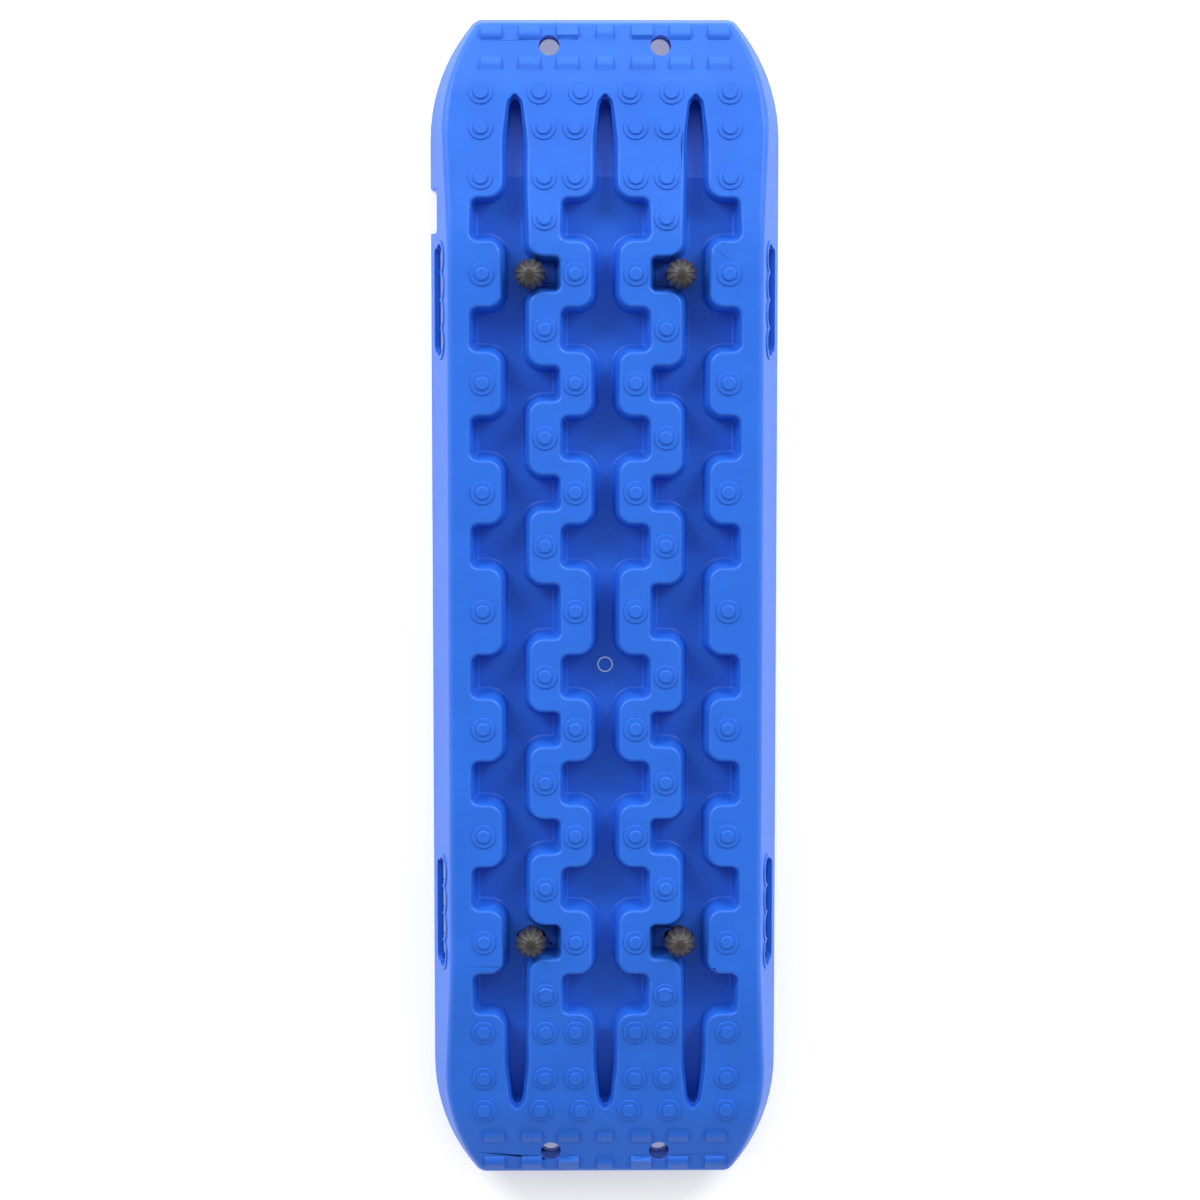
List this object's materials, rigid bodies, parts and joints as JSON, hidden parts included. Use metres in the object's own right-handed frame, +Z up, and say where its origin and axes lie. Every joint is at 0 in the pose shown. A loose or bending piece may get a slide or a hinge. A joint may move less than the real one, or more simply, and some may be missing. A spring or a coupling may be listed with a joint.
{
  "type": "tire traction mats",
  "caption": "Nested pair of ribbed traction boards with studs, cleats and carrying slots, clamped by mounting pins with fluted knobs.",
  "frame": {"origin": "bottom centre of the bounding box, on the ground plane under the lower board", "axes": "+X across the boards to the right, +Y along the boards to the rear end, +Z up"},
  "size_m": [0.315, 1.06, 0.108],
  "materials": {
    "board": "satin moulded nylon",
    "knob": "satin moulded nylon, dark brown-grey",
    "steel": "zinc plated",
    "brass": "machined",
    "rubber": "matt",
    "sleeve": "matt moulded nylon"
  },
  "bodies": {
    "root": {"lower_board": "board", "upper_board": "board", "foot_front_left": "steel", "stud_front_left": "steel", "nut_front_left": "steel", "sleeve_front_left": "sleeve", "seal_front_left": "rubber", "foot_front_right": "steel", "stud_front_right": "steel", "nut_front_right": "steel", "sleeve_front_right": "sleeve", "seal_front_right": "rubber", "foot_rear_left": "steel", "stud_rear_left": "steel", "nut_rear_left": "steel", "sleeve_rear_left": "sleeve", "seal_rear_left": "rubber", "foot_rear_right": "steel", "stud_rear_right": "steel", "nut_rear_right": "steel", "sleeve_rear_right": "sleeve", "seal_rear_right": "rubber"},
    "washer_front_left": {"washer_front_left": "steel"},
    "knob_front_left": {"knob_front_left": "knob", "insert_front_left": "brass"},
    "washer_front_right": {"washer_front_right": "steel"},
    "knob_front_right": {"knob_front_right": "knob", "insert_front_right": "brass"},
    "washer_rear_left": {"washer_rear_left": "steel"},
    "knob_rear_left": {"knob_rear_left": "knob", "insert_rear_left": "brass"},
    "washer_rear_right": {"washer_rear_right": "steel"},
    "knob_rear_right": {"knob_rear_right": "knob", "insert_rear_right": "brass"}
  },
  "joints": [
    {"name": "lift_front_left", "type": "slide", "parent": "root", "child": "washer_front_left", "axis": [0, 0, 1], "range_m": [0, 0.015]},
    {"name": "turn_front_left", "type": "hinge", "parent": "washer_front_left", "child": "knob_front_left", "pos_m": [-0.0675, -0.301, 0.0675], "axis": [0, 0, 1], "range_deg": [0, 3600]},
    {"name": "lift_front_right", "type": "slide", "parent": "root", "child": "washer_front_right", "axis": [0, 0, 1], "range_m": [0, 0.015]},
    {"name": "turn_front_right", "type": "hinge", "parent": "washer_front_right", "child": "knob_front_right", "pos_m": [0.0675, -0.301, 0.0675], "axis": [0, 0, 1], "range_deg": [0, 3600]},
    {"name": "lift_rear_left", "type": "slide", "parent": "root", "child": "washer_rear_left", "axis": [0, 0, 1], "range_m": [0, 0.015]},
    {"name": "turn_rear_left", "type": "hinge", "parent": "washer_rear_left", "child": "knob_rear_left", "pos_m": [-0.0675, 0.301, 0.0675], "axis": [0, 0, 1], "range_deg": [0, 3600]},
    {"name": "lift_rear_right", "type": "slide", "parent": "root", "child": "washer_rear_right", "axis": [0, 0, 1], "range_m": [0, 0.015]},
    {"name": "turn_rear_right", "type": "hinge", "parent": "washer_rear_right", "child": "knob_rear_right", "pos_m": [0.0675, 0.301, 0.0675], "axis": [0, 0, 1], "range_deg": [0, 3600]}
  ],
  "couplings": [
    {"joint": "lift_front_left", "follows": "turn_front_left", "m_per_rad": 0.00023873},
    {"joint": "lift_front_right", "follows": "turn_front_right", "m_per_rad": 0.00023873},
    {"joint": "lift_rear_left", "follows": "turn_rear_left", "m_per_rad": 0.00023873},
    {"joint": "lift_rear_right", "follows": "turn_rear_right", "m_per_rad": 0.00023873}
  ]
}
